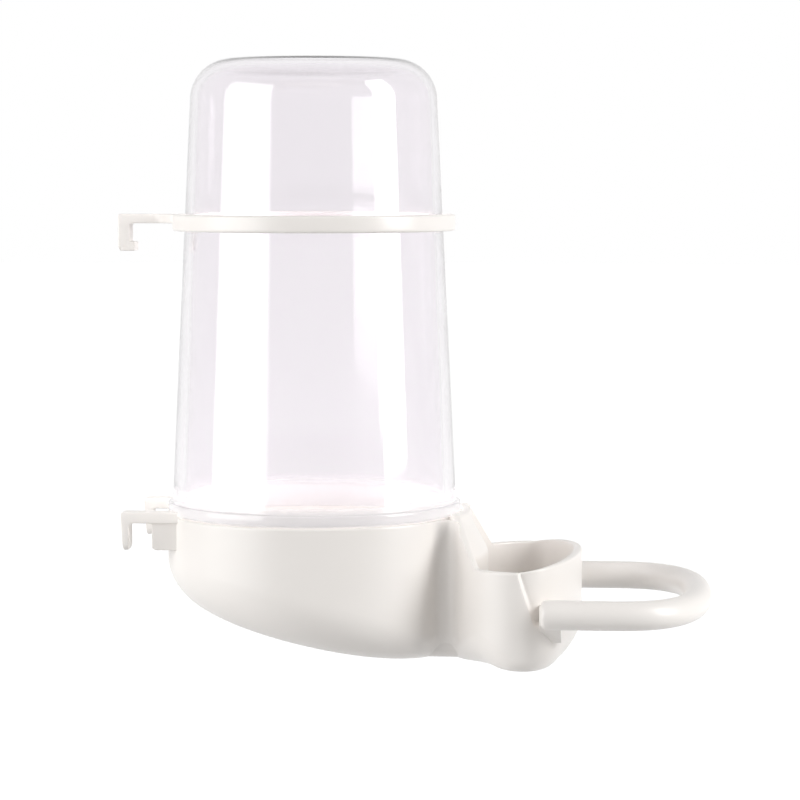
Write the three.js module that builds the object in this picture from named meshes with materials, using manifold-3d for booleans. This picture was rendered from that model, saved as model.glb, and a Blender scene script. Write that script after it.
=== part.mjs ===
// A siphon bird drinker that hooks on the wires of a cage. A clear reservoir stands mouth down on a base.
// The base's bowl runs under a partition into an open drinking cup, a ring round the reservoir hooks on a
// higher wire, and a half-round perch slides on two keys at the cup's sides.
// Millimetres, +Z up, +X from the wires to the perch, and the drinker is alike on both sides of y = 0.
// Sizes are laid out from the reservoir's axis and the seat, which is the top of the bowl's rim. The whole
// is then moved so that the origin is the middle of the wire that the two lower hooks hang on.
import * as THREE from 'three';
import { mergeVertices } from 'three/addons/utils/BufferGeometryUtils.js';
import Module from 'manifold-3d';

const wasm = await Module();
wasm.setup();

// Fits
const CLEARANCE = 0.3;

// Reservoir: a tapered clear cup with a flange that lies on the seat and a plug that seals inside the bowl
const RESERVOIR_HEIGHT = 95;
const RESERVOIR_FOOT_RADIUS = 30.1;
const RESERVOIR_SHOULDER_RADIUS = 25.9;
const RESERVOIR_WALL = 1.5;
const CROWN_CORNER = 8.5;
const FLANGE_OVERHANG = 0.9;
const FLANGE_THICKNESS = 2.2;
const PLUG_DEPTH = 4;
const PLUG_WALL = 1.4;

// Base: a round bowl and an oval cup that run into each other, with a sloped keel under both
const BASE_WALL = 1.8;
const BASE_FLOOR = 1.8;
const BASE_DEPTH = 29.5;
const KEEL_RISE = 12.6;
const KEEL_CURVE = 1.5;
const KEEL_LEVEL_LENGTH = 3;
const BACK_FILLET = 7.5;
const SIDE_FILLET = 11;
const FRONT_FILLET = 5;
const CUP_REACH = 25.6;
const CUP_OVERLAP = 2.6;
const CUP_NOSE = 11.2;
const CUP_HALF_WIDTH = 27;
const CUP_LIP_DROP = 9;
const CUP_LIP_RISE = 1.8;
const CUP_FILLET = 3;
const NOSE_FILLET = 8.5;
const NOSE_FADE_START = THREE.MathUtils.degToRad(60);
const NOSE_FADE_END = THREE.MathUtils.degToRad(88);
const FOOT_FILLET = 8;
const FOOT_ANGLE = THREE.MathUtils.degToRad(114);
const FOOT_LEAD = THREE.MathUtils.degToRad(22);
const FOOT_TRAIL = THREE.MathUtils.degToRad(36);
const WING_TOP_ANGLE = THREE.MathUtils.degToRad(139.5);
const WING_FOOT_ANGLE = THREE.MathUtils.degToRad(113.5);

// Partition between bowl and cup: a collar that the plug seals in and a sloped apron with the passage below
const COLLAR_DEPTH = 5;
const COLLAR_LIP = 0.8;
const APRON_SETBACK = 2.3;
const APRON_SLOPE = 3.5;
const APRON_BEND = 1.5;
const APRON_KNEE = 8;
const PASSAGE_TOP = 16;
const NECK_HALF_WIDTH = 14;
const NECK_WALL = 2.6;
const NECK_STEP = 0.5;
const NECK_FILLET = 4;

// Lower hooks: a slot that drops over a cage wire, between a thin post and a root block
const HOOK_SPACING = 27.1;
const HOOK_WIDTH = 4.5;
const HOOK_REACH = 7.8;
const HOOK_RISE = 1.2;
const HOOK_ARM_HEIGHT = 2.4;
const HOOK_POST = 1.8;
const HOOK_POST_TIP = 1.4;
const HOOK_DROP = 8;
const WIRE_SLOT = 4.7;
const WIRE_DIAMETER = 2.4;
const HOOK_ROUND = 0.9;
const ROOT_SETBACK = 0.6;

// Retaining ring: a band that rests on the reservoir's taper, and a strap with a hook for a higher wire
const RING_LEVEL = 59.1;
const RING_HEIGHT = 3.5;
const RING_WALL = 2.2;
const STRAP_HEIGHT = 2;
const STRAP_HALF_WIDTH = 2.2;
const STRAP_ROOT_HALF_WIDTH = 6;
const STRAP_REACH = 11.8;
const UPPER_POST = 2.6;
const UPPER_DROP = 5.8;
const UPPER_FOOT = 1.1;
const UPPER_FOOT_HEIGHT = 2;

// Perch: a half-round bar whose arms slide on keys at the cup's sides
const PERCH_DIAMETER = 6;
const PERCH_DROP = 16.9;
const PERCH_REACH = 27.3;
const PERCH_SIDE_GAP = 0.3;
const PERCH_ARM = 14;
const PERCH_FULLNESS = 2.5;
const PERCH_END_FROM_LIP = 7.2;
const KEY_LENGTH = 2.8;
const KEY_HEIGHT = 2;
const KEY_DEPTH = 2;
const BRACKET_LENGTH = 4.4;
const BRACKET_SETBACK = 0.5;
const BRACKET_TOP = 1.2;
const BRACKET_FACE = 2.6;
const BRACKET_BOTTOM = 6.8;
const FLANK_RECESS = 1.1;
const RECESS_LEAN = 3.4;
const RECESS_DEPTH = 10.5;

// Facets
const OUTLINE_STEPS = 72;
const FILLET_STEPS = 4;
const FLOOR_STEPS = 5;
const ROUND_STEPS = 72;
const PERCH_STEPS = 48;
const PERCH_SIDES = 12;

// Colours
const WHITE_PLASTIC = { color: 0xf4f1ec, roughness: 0.32, metalness: 0 };
const CLEAR_PLASTIC = { color: 0xf2eef4, roughness: 0.08, metalness: 0, transparent: true, opacity: 0.25 };

// Places worked out from the sizes above
const BOWL_RADIUS = RESERVOIR_FOOT_RADIUS + FLANGE_OVERHANG;
const CUP_FRONT = BOWL_RADIUS + CUP_REACH;
const CUP_TAIL = CUP_REACH + CUP_OVERLAP - CUP_NOSE;
const CUP_CENTRE = CUP_FRONT - CUP_NOSE;
const KEEL_LEVEL_X = BOWL_RADIUS - KEEL_LEVEL_LENGTH;
const SHOULDER_LEVEL = RESERVOIR_HEIGHT - CROWN_CORNER;
const PERCH_RADIUS = PERCH_DIAMETER / 2;
const PERCH_HALF_SPAN = CUP_HALF_WIDTH + PERCH_SIDE_GAP + PERCH_RADIUS;
const PERCH_END = CUP_FRONT - PERCH_END_FROM_LIP;
const HOOK_END = -BOWL_RADIUS - HOOK_REACH;
const SLOT_START = HOOK_END + HOOK_POST;
const SLOT_ROOF = HOOK_RISE - HOOK_ARM_HEIGHT;
const HOOK_FOOT = HOOK_RISE - HOOK_DROP;
const WIRE_X = SLOT_START + WIRE_SLOT / 2;
const WIRE_Z = SLOT_ROOF - WIRE_DIAMETER / 2;
const OVERRUN = 5;

// A closed three.js mesh as a solid for cutting and joining
function toSolid(geometry) {
  const bare = geometry.clone();
  bare.deleteAttribute('normal');
  bare.deleteAttribute('uv');
  const merged = mergeVertices(bare, 1e-4);
  const corners = merged.index.array;
  const kept = [];
  for (let i = 0; i < corners.length; i += 3) {
    const [a, b, c] = corners.slice(i, i + 3);
    if (a !== b && b !== c && c !== a) kept.push(a, b, c);
  }
  const vertProperties = Float32Array.from(merged.attributes.position.array);
  return new wasm.Manifold(new wasm.Mesh({ numProp: 3, vertProperties, triVerts: Uint32Array.from(kept) }));
}

function toGeometry(solid) {
  const { vertProperties, triVerts } = solid.getMesh();
  const geometry = new THREE.BufferGeometry();
  geometry.setAttribute('position', new THREE.BufferAttribute(vertProperties, 3));
  geometry.setIndex(new THREE.BufferAttribute(triVerts, 1));
  geometry.computeVertexNormals();
  return geometry;
}

// A surface from the first pole through rings of equal length to the last pole, facing out when the rings
// turn anticlockwise and climb
function ringedSolid(firstPole, rings, lastPole) {
  const count = rings[0].length;
  const points = [firstPole, ...rings.flat(), lastPole];
  const index = [];
  const at = (ring, step) => 1 + ring * count + (step % count);
  for (let step = 0; step < count; step++) {
    index.push(0, at(0, step + 1), at(0, step));
    for (let ring = 0; ring + 1 < rings.length; ring++) {
      index.push(at(ring, step), at(ring, step + 1), at(ring + 1, step + 1));
      index.push(at(ring, step), at(ring + 1, step + 1), at(ring + 1, step));
    }
    index.push(points.length - 1, at(rings.length - 1, step), at(rings.length - 1, step + 1));
  }
  const geometry = new THREE.BufferGeometry().setFromPoints(points);
  geometry.setIndex(index);
  return toSolid(geometry);
}

// A profile of [radius, height] points turned about Z
function turned(profile) {
  const points = profile.map(([radius, height]) => new THREE.Vector2(radius, height));
  return toSolid(new THREE.LatheGeometry(points, ROUND_STEPS).rotateX(Math.PI / 2));
}

// An outline in the XZ plane, given as x and z, extruded along Y between two places
function sideSolid(shape, fromY, toY) {
  const geometry = new THREE.ExtrudeGeometry(shape, { depth: toY - fromY, bevelEnabled: false, curveSegments: 5 });
  return toSolid(geometry.rotateX(Math.PI / 2).translate(0, toY, 0));
}

// An outline in the XY plane extruded up from one level to another
function planSolid(shape, fromZ, toZ) {
  const geometry = new THREE.ExtrudeGeometry(shape, { depth: toZ - fromZ, bevelEnabled: false, curveSegments: 8 });
  return toSolid(geometry.translate(0, 0, fromZ));
}

// An outline in the YZ plane, given as y and z, extruded along X between two places
function crossSolid(shape, fromX, toX) {
  const geometry = new THREE.ExtrudeGeometry(shape, { depth: toX - fromX, bevelEnabled: false, curveSegments: 5 });
  return toSolid(geometry.rotateX(Math.PI / 2).rotateZ(Math.PI / 2).translate(fromX, 0, 0));
}

function polygon(points) {
  return new THREE.Shape(points.map(([a, b]) => new THREE.Vector2(a, b)));
}

function box(low, high) {
  const shape = polygon([[low[0], low[1]], [high[0], low[1]], [high[0], high[1]], [low[0], high[1]]]);
  return planSolid(shape, low[2], high[2]);
}

function bothSides(solid) {
  return solid.add(solid.mirror([0, 1, 0]));
}

// Reservoir
function reservoirRadius(level) {
  const share = level / SHOULDER_LEVEL;
  return THREE.MathUtils.lerp(RESERVOIR_FOOT_RADIUS, RESERVOIR_SHOULDER_RADIUS, share);
}

function crown(inset, fromTop) {
  const centreRadius = RESERVOIR_SHOULDER_RADIUS - CROWN_CORNER;
  const corner = CROWN_CORNER - inset;
  const points = [];
  for (let step = 0; step <= FILLET_STEPS * 2; step++) {
    const turn = (step / (FILLET_STEPS * 2)) * (Math.PI / 2);
    points.push([centreRadius + corner * Math.sin(turn), SHOULDER_LEVEL + corner * Math.cos(turn)]);
  }
  return fromTop ? points : points.reverse();
}

function makeReservoir() {
  const plugRadius = BOWL_RADIUS - BASE_WALL - CLEARANCE;
  const inside = plugRadius - PLUG_WALL;
  const profile = [
    [0, RESERVOIR_HEIGHT],
    ...crown(0, true),
    [reservoirRadius(FLANGE_THICKNESS), FLANGE_THICKNESS],
    [BOWL_RADIUS, FLANGE_THICKNESS],
    [BOWL_RADIUS, 0],
    [plugRadius, 0],
    [plugRadius, -PLUG_DEPTH],
    [inside, -PLUG_DEPTH],
    [Math.min(inside, reservoirRadius(FLANGE_THICKNESS) - RESERVOIR_WALL), FLANGE_THICKNESS],
    ...crown(RESERVOIR_WALL, false),
    [0, RESERVOIR_HEIGHT - RESERVOIR_WALL],
  ];
  return turned(profile.reverse());
}

// Height of the bottom: level under the cup and rising towards the wires
function keelLevel(x) {
  const share = Math.max(KEEL_LEVEL_X - x, 0) / (KEEL_LEVEL_X + BOWL_RADIUS);
  return -BASE_DEPTH + KEEL_RISE * share ** KEEL_CURVE;
}

// A solid whose outline is a reach about a pole on y = 0, from the keel, raised by floor, up to a rim. Its
// bottom edge is rounded by a fillet. Reach, fillet and rim are functions of the angle about the pole.
function keeledSolid({ poleX, reach, fillet, floor, rim }) {
  const angles = Array.from({ length: OUTLINE_STEPS }, (_, step) => (step / OUTLINE_STEPS) * 2 * Math.PI);
  const point = (angle, pulledIn, level) => {
    const distance = reach(angle) - pulledIn;
    const x = poleX + distance * Math.cos(angle);
    return new THREE.Vector3(x, distance * Math.sin(angle), level(x));
  };
  const rings = [];
  for (let step = 1; step <= FLOOR_STEPS; step++) {
    const share = 1 - step / FLOOR_STEPS;
    rings.push(angles.map((angle) => {
      const flat = reach(angle) - fillet(angle);
      return point(angle, fillet(angle) + flat * share, (x) => keelLevel(x) + floor);
    }));
  }
  for (let step = 1; step <= FILLET_STEPS; step++) {
    const turn = (step / FILLET_STEPS) * (Math.PI / 2);
    rings.push(angles.map((angle) => {
      const rise = fillet(angle) * (1 - Math.cos(turn));
      return point(angle, fillet(angle) * (1 - Math.sin(turn)), (x) => keelLevel(x) + floor + rise);
    }));
  }
  rings.push(angles.map((angle) => point(angle, 0, () => rim(angle))));
  rings.push(angles.map((angle) => point(angle, BASE_WALL * 2, () => rim(angle))));
  const bottom = new THREE.Vector3(poleX, 0, keelLevel(poleX) + floor);
  return ringedSolid(bottom, rings, new THREE.Vector3(poleX, 0, rim(0)));
}

function bowlSolid(inset, rim) {
  const fillet = (angle) => {
    const end = Math.cos(angle) > 0 ? FRONT_FILLET : BACK_FILLET;
    return THREE.MathUtils.lerp(end, SIDE_FILLET, Math.sin(angle) ** 2) - inset / 2;
  };
  return keeledSolid({
    poleX: 0,
    reach: () => BOWL_RADIUS - inset,
    fillet,
    floor: inset > 0 ? BASE_FLOOR : 0,
    rim,
  });
}

function turnFromFront(angle) {
  return Math.abs(Math.atan2(Math.sin(angle), Math.cos(angle)));
}

// Rounding of the cup's bottom edge, which is wide under the nose and where the flanks turn in towards the neck
function cupFillet(angle) {
  const turn = turnFromFront(angle);
  const nose = 1 - THREE.MathUtils.smoothstep(turn, NOSE_FADE_START, NOSE_FADE_END);
  const past = turn - FOOT_ANGLE;
  const foot = 1 - THREE.MathUtils.smoothstep(past > 0 ? past / FOOT_TRAIL : -past / FOOT_LEAD, 0, 1);
  return CUP_FILLET + (NOSE_FILLET - CUP_FILLET) * nose + (FOOT_FILLET - CUP_FILLET) * foot;
}

// The cup's oval about its widest place, with a short nose in front and a longer tail behind
function cupReach(angle, inset, flankInset) {
  const length = (Math.cos(angle) > 0 ? CUP_NOSE : CUP_TAIL) - inset;
  return 1 / Math.hypot(Math.cos(angle) / length, Math.sin(angle) / (CUP_HALF_WIDTH - inset - flankInset));
}

function cupSolid(inset, flankInset, rim) {
  return keeledSolid({
    poleX: CUP_CENTRE,
    reach: (angle) => cupReach(angle, inset, flankInset),
    fillet: (angle) => cupFillet(angle) - inset / 2,
    floor: inset > 0 ? BASE_FLOOR : 0,
    rim,
  });
}

// The cup's rim: a lip that rises along the nose, and a wing at each side that sweeps up to the collar's lip
function wingedRim(angle) {
  const climb = (turnFromFront(angle) - WING_FOOT_ANGLE) / (WING_TOP_ANGLE - WING_FOOT_ANGLE);
  const share = THREE.MathUtils.clamp(climb, 0, 1);
  const along = Math.max(cupReach(angle, 0, 0) * Math.cos(angle), 0) / CUP_NOSE;
  const lip = CUP_LIP_RISE * along - CUP_LIP_DROP;
  return THREE.MathUtils.lerp(lip, COLLAR_LIP, (share * (3 - share)) / 2);
}

// The partition's section: collar, lip and apron, turned about the reservoir's axis
function makePartition(filled) {
  const inner = BOWL_RADIUS - BASE_WALL;
  const lipInner = BOWL_RADIUS + CLEARANCE;
  const apronTop = BOWL_RADIUS + APRON_SETBACK;
  const apronFoot = apronTop + APRON_SLOPE;
  const ring = turned([
    [inner, -COLLAR_DEPTH],
    [BOWL_RADIUS, -COLLAR_DEPTH],
    [BOWL_RADIUS, -BASE_WALL],
    [Math.max(apronTop - BASE_WALL, lipInner), -BASE_WALL],
    [apronFoot - BASE_WALL, -APRON_KNEE],
    [apronFoot - BASE_WALL, -PASSAGE_TOP],
    [apronFoot, -PASSAGE_TOP],
    [apronFoot, -APRON_KNEE],
    [apronTop, -APRON_BEND],
    [apronTop, COLLAR_LIP],
    [lipInner, COLLAR_LIP],
    [lipInner, 0],
    [inner, 0],
    [inner, -COLLAR_DEPTH],
  ]);
  return ring.intersect(filled);
}

// Side outline of a lower hook: arm, post and the slot between them
function hookShape() {
  const slotEnd = SLOT_START + WIRE_SLOT;
  const root = -BOWL_RADIUS + OVERRUN;
  const shape = new THREE.Shape();
  shape.moveTo(root, HOOK_RISE);
  shape.lineTo(HOOK_END, HOOK_RISE);
  shape.lineTo(SLOT_START - HOOK_POST_TIP, HOOK_FOOT);
  shape.lineTo(SLOT_START, HOOK_FOOT);
  shape.lineTo(SLOT_START, SLOT_ROOF - HOOK_ROUND);
  shape.absarc(SLOT_START + HOOK_ROUND, SLOT_ROOF - HOOK_ROUND, HOOK_ROUND, Math.PI, Math.PI / 2, true);
  shape.lineTo(slotEnd, SLOT_ROOF);
  shape.lineTo(root, SLOT_ROOF);
  shape.closePath();
  return shape;
}

function hookRootShape() {
  const slotEnd = SLOT_START + WIRE_SLOT;
  const root = -BOWL_RADIUS + OVERRUN;
  const shape = new THREE.Shape();
  shape.moveTo(root, SLOT_ROOF / 2);
  shape.lineTo(slotEnd, SLOT_ROOF / 2);
  shape.lineTo(slotEnd, HOOK_FOOT + HOOK_ROUND);
  shape.absarc(slotEnd + HOOK_ROUND, HOOK_FOOT + HOOK_ROUND, HOOK_ROUND, Math.PI, Math.PI * 1.5, false);
  shape.lineTo(root, HOOK_FOOT);
  shape.closePath();
  return shape;
}

function makeHooks() {
  const inner = (HOOK_SPACING - HOOK_WIDTH) / 2;
  const outer = (HOOK_SPACING + HOOK_WIDTH) / 2;
  const arm = sideSolid(hookShape(), inner, outer);
  return bothSides(arm.add(sideSolid(hookRootShape(), inner + ROOT_SETBACK, outer - ROOT_SETBACK)));
}

// Shallow recess in the cup's flanks behind a leaning edge, which fades out towards the cup's front
function makeFlankRecess() {
  const top = -CUP_LIP_DROP + OVERRUN;
  const edgeFoot = PERCH_END - PERCH_RADIUS / 2;
  const outline = polygon([
    [edgeFoot - RECESS_LEAN, top],
    [edgeFoot - RECESS_LEAN, -CUP_LIP_DROP],
    [edgeFoot, -CUP_LIP_DROP - RECESS_DEPTH],
    [CUP_FRONT + OVERRUN, -CUP_LIP_DROP - RECESS_DEPTH],
    [CUP_FRONT + OVERRUN, top],
  ]);
  const core = cupSolid(0, FLANK_RECESS, () => top + OVERRUN);
  return sideSolid(outline, -CUP_HALF_WIDTH - OVERRUN, CUP_HALF_WIDTH + OVERRUN).subtract(core);
}

// A gusset on each flank that ends in a flat face, and the key that the perch's arm slides on
function makeBrackets() {
  const face = PERCH_HALF_SPAN - PERCH_RADIUS - CLEARANCE;
  const inside = face - CUP_HALF_WIDTH / 2;
  const gusset = polygon([
    [inside, -PERCH_DROP + BRACKET_TOP],
    [inside, -PERCH_DROP - BRACKET_BOTTOM],
    [face - BRACKET_BOTTOM + BRACKET_FACE, -PERCH_DROP - BRACKET_BOTTOM],
    [face, -PERCH_DROP - BRACKET_FACE],
    [face, -PERCH_DROP + BRACKET_TOP],
  ]);
  const keyStart = PERCH_END + CLEARANCE;
  const key = box(
    [keyStart, face - KEY_DEPTH, -PERCH_DROP - KEY_HEIGHT / 2],
    [keyStart + KEY_LENGTH, face + KEY_DEPTH, -PERCH_DROP + KEY_HEIGHT / 2],
  );
  const start = PERCH_END - BRACKET_SETBACK;
  return bothSides(crossSolid(gusset, start, start + BRACKET_LENGTH).add(key));
}

// The neck that joins bowl and cup below the collar, and the way through it
function makeNeck() {
  const bottom = -BASE_DEPTH + NECK_STEP;
  const inner = NECK_HALF_WIDTH - NECK_FILLET;
  const section = new THREE.Shape();
  section.moveTo(NECK_HALF_WIDTH, 0);
  section.lineTo(-NECK_HALF_WIDTH, 0);
  section.lineTo(-NECK_HALF_WIDTH, bottom + NECK_FILLET);
  section.absarc(-inner, bottom + NECK_FILLET, NECK_FILLET, Math.PI, Math.PI * 1.5, false);
  section.lineTo(inner, bottom);
  section.absarc(inner, bottom + NECK_FILLET, NECK_FILLET, -Math.PI / 2, 0, false);
  section.closePath();
  return crossSolid(section, BOWL_RADIUS - OVERRUN, CUP_CENTRE);
}

function makePassage() {
  const halfWidth = NECK_HALF_WIDTH - NECK_WALL;
  return box(
    [BOWL_RADIUS - OVERRUN * 2, -halfWidth, -BASE_DEPTH + NECK_STEP + BASE_FLOOR],
    [CUP_CENTRE, halfWidth, -COLLAR_DEPTH],
  );
}

// Room above the seat for the reservoir's flange
function makeFlangeRoom() {
  const radius = BOWL_RADIUS + CLEARANCE;
  return turned([[0, 0], [radius, 0], [radius, OVERRUN], [0, OVERRUN]]);
}

function makeBase() {
  const above = () => COLLAR_LIP + OVERRUN;
  const filled = bowlSolid(0, above).add(cupSolid(0, 0, above));
  return bowlSolid(0, () => 0)
    .add(cupSolid(0, 0, wingedRim).subtract(makeFlankRecess()))
    .add(makeNeck())
    .add(makeHooks())
    .add(makeBrackets())
    .subtract(bowlSolid(BASE_WALL, above))
    .subtract(cupSolid(BASE_WALL, 0, above))
    .subtract(makePassage())
    .subtract(makeFlangeRoom())
    .add(makePartition(filled));
}

// Retaining ring
function makeRing() {
  const top = RING_LEVEL + RING_HEIGHT;
  const lowerBore = reservoirRadius(RING_LEVEL) + CLEARANCE;
  const upperBore = reservoirRadius(top) + CLEARANCE;
  const outside = lowerBore + RING_WALL;
  const band = turned([
    [lowerBore, RING_LEVEL],
    [outside, RING_LEVEL],
    [outside, top],
    [upperBore, top],
    [lowerBore, RING_LEVEL],
  ]);
  const end = -outside - STRAP_REACH;
  const rootX = -lowerBore - RING_WALL / 2;
  const strap = new THREE.Shape();
  strap.moveTo(end, -STRAP_HALF_WIDTH);
  strap.lineTo(-outside - STRAP_REACH / 2, -STRAP_HALF_WIDTH);
  strap.quadraticCurveTo(-outside, -STRAP_HALF_WIDTH, rootX, -STRAP_ROOT_HALF_WIDTH);
  strap.lineTo(rootX, STRAP_ROOT_HALF_WIDTH);
  strap.quadraticCurveTo(-outside, STRAP_HALF_WIDTH, -outside - STRAP_REACH / 2, STRAP_HALF_WIDTH);
  strap.lineTo(end, STRAP_HALF_WIDTH);
  strap.closePath();
  const underside = top - STRAP_HEIGHT;
  const bore = turned([
    [0, underside - OVERRUN],
    [reservoirRadius(underside - OVERRUN) + CLEARANCE, underside - OVERRUN],
    [reservoirRadius(top + OVERRUN) + CLEARANCE, top + OVERRUN],
    [0, top + OVERRUN],
  ]);
  const post = polygon([
    [end, top],
    [end, underside - UPPER_DROP],
    [end + UPPER_POST + UPPER_FOOT, underside - UPPER_DROP],
    [end + UPPER_POST + UPPER_FOOT, underside - UPPER_DROP + UPPER_FOOT_HEIGHT],
    [end + UPPER_POST, underside - UPPER_DROP + UPPER_FOOT_HEIGHT],
    [end + UPPER_POST, top],
  ]);
  return band
    .add(planSolid(strap, underside, top).subtract(bore))
    .add(sideSolid(post, -STRAP_HALF_WIDTH, STRAP_HALF_WIDTH));
}

// Perch: straight arms and a half oval that is fuller than an ellipse, with a groove in each arm for its key
class PerchPath extends THREE.Curve {
  getPoint(share, target = new THREE.Vector3()) {
    const reach = CUP_FRONT + PERCH_REACH - PERCH_RADIUS - PERCH_END - PERCH_ARM;
    const bend = (Math.PI / 2) * Math.sqrt((reach * reach + PERCH_HALF_SPAN * PERCH_HALF_SPAN) / 2);
    const along = share * 2 * (PERCH_ARM + bend);
    const arm = Math.min(along, PERCH_ARM, 2 * (PERCH_ARM + bend) - along);
    const turn = THREE.MathUtils.clamp((along - PERCH_ARM) / (2 * bend), 0, 1) * Math.PI;
    const power = 2 / PERCH_FULLNESS;
    const x = PERCH_END + arm + reach * Math.abs(Math.sin(turn)) ** power;
    const y = -PERCH_HALF_SPAN * Math.sign(Math.cos(turn)) * Math.abs(Math.cos(turn)) ** power;
    return target.set(x, y, -PERCH_DROP);
  }
}

function makePerch() {
  const section = new THREE.Shape();
  section.absarc(0, 0, PERCH_RADIUS, 0, 2 * Math.PI);
  const bar = new THREE.ExtrudeGeometry(section, {
    steps: PERCH_STEPS,
    curveSegments: PERCH_SIDES,
    extrudePath: new PerchPath(),
  });
  const keyEnd = PERCH_END + CLEARANCE + KEY_LENGTH;
  const innerSide = PERCH_HALF_SPAN - PERCH_RADIUS;
  const groove = box(
    [PERCH_END - OVERRUN, innerSide - OVERRUN, -PERCH_DROP - KEY_HEIGHT / 2 - CLEARANCE],
    [keyEnd + CLEARANCE, innerSide - CLEARANCE + KEY_DEPTH + CLEARANCE, -PERCH_DROP + KEY_HEIGHT / 2 + CLEARANCE],
  );
  return toSolid(bar).subtract(bothSides(groove));
}

function piece(name, solid, finish) {
  const mesh = new THREE.Mesh(toGeometry(solid), new THREE.MeshStandardMaterial(finish));
  mesh.name = name;
  return mesh;
}

const drinker = new THREE.Group();
drinker.position.set(-WIRE_X, 0, -WIRE_Z);
drinker.add(piece('base', makeBase(), WHITE_PLASTIC));
drinker.add(piece('perch_ring', makePerch(), WHITE_PLASTIC));

const seated = new THREE.Group();
seated.position.z = CLEARANCE;
seated.add(piece('reservoir', makeReservoir(), CLEAR_PLASTIC));
seated.add(piece('retaining_ring', makeRing(), WHITE_PLASTIC));
drinker.add(seated);

export default drinker;
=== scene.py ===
"""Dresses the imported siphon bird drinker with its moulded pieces, finishes and studio.

Metres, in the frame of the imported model: the origin is the middle of the cage wire, +X runs from the wires
to the perch and +Z is up. Shapes are worked out from the reservoir's axis and a level. For base and perch the
level is the seat, the top of the bowl's rim, and for reservoir and ring the underside of the flange.
"""

import bmesh
import bpy
import numpy as np
from mathutils import Matrix, Vector


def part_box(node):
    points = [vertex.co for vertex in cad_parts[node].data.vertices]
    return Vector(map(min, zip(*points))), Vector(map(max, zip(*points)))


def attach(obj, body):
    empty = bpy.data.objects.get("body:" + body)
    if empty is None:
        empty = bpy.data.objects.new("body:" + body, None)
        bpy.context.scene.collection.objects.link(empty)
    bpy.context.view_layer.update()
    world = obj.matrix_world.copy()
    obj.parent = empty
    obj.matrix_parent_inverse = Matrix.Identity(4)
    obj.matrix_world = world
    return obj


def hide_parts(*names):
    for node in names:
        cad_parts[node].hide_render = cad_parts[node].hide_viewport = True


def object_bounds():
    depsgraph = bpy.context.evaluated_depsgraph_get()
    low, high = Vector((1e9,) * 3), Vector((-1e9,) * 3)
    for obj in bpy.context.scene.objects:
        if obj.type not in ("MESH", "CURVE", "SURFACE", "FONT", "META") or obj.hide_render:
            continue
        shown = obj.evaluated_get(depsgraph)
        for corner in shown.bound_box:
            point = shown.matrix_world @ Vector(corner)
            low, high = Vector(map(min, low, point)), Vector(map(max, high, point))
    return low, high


bl_info = {
    "name": "Siphon bird drinker",
    "version": (1, 0, 0),
    "blender": (4, 5, 0),
    "location": "View3D > Sidebar > Drinker",
    "description": "Builds the drinker's moulded pieces, its finishes and its studio on the packed frame",
    "category": "Object",
}

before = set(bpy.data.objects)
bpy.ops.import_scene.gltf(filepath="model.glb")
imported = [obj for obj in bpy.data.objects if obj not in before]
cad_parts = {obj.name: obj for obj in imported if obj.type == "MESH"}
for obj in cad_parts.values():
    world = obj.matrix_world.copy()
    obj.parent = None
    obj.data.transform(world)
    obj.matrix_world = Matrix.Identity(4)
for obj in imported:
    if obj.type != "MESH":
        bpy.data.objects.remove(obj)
CAD_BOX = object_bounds()

MM = 0.001

# Small distances that keep pieces apart, or let one reach into another
CLEARANCE = 0.3 * MM
SINK = 0.05 * MM
HAIR = 0.1 * MM

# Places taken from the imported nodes
RESERVOIR_LOW, RESERVOIR_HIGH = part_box("reservoir")
BASE_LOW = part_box("base")[0]
RING_LOW, RING_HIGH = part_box("retaining_ring")
PERCH_LOW, PERCH_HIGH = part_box("perch_ring")
AXIS_X = (RESERVOIR_LOW.x + RESERVOIR_HIGH.x) / 2
BOWL_RADIUS = (RESERVOIR_HIGH.x - RESERVOIR_LOW.x) / 2
PLUG_DEPTH = 4 * MM
FLANGE_LEVEL = RESERVOIR_LOW.z + PLUG_DEPTH
SEAT = FLANGE_LEVEL - CLEARANCE

# Base outline and section, as lengths from the reservoir's axis and depths below the seat
BASE_WALL = 1.8 * MM
BASE_FLOOR = 1.8 * MM
BASE_DEPTH = SEAT - BASE_LOW.z
KEEL_RISE = 12.6 * MM
KEEL_CURVE = 1.5
KEEL_LEVEL_X = BOWL_RADIUS - 3 * MM
BACK_FILLET = 7.5 * MM
SIDE_FILLET = 11 * MM
FRONT_FILLET = 5 * MM
CUP_FILLET = 3 * MM
NOSE_FILLET = 8.5 * MM
FOOT_FILLET = 8 * MM
CUP_REACH = 25.6 * MM
CUP_OVERLAP = 2.6 * MM
CUP_HALF_WIDTH = 27 * MM
CUP_LIP_DROP = 9 * MM
CUP_LIP_RISE = 1.8 * MM
CUP_FRONT = BOWL_RADIUS + CUP_REACH
CUP_NOSE = 11.2 * MM
CUP_TAIL = CUP_REACH + CUP_OVERLAP - CUP_NOSE
CUP_CENTRE = CUP_FRONT - CUP_NOSE
NOSE_FADE_START = np.radians(60)
NOSE_FADE_END = np.radians(88)
FOOT_ANGLE = np.radians(114)
FOOT_LEAD = np.radians(22)
FOOT_TRAIL = np.radians(36)
WING_TOP_ANGLE = np.radians(139.5)
WING_FOOT_ANGLE = np.radians(113.5)

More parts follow.
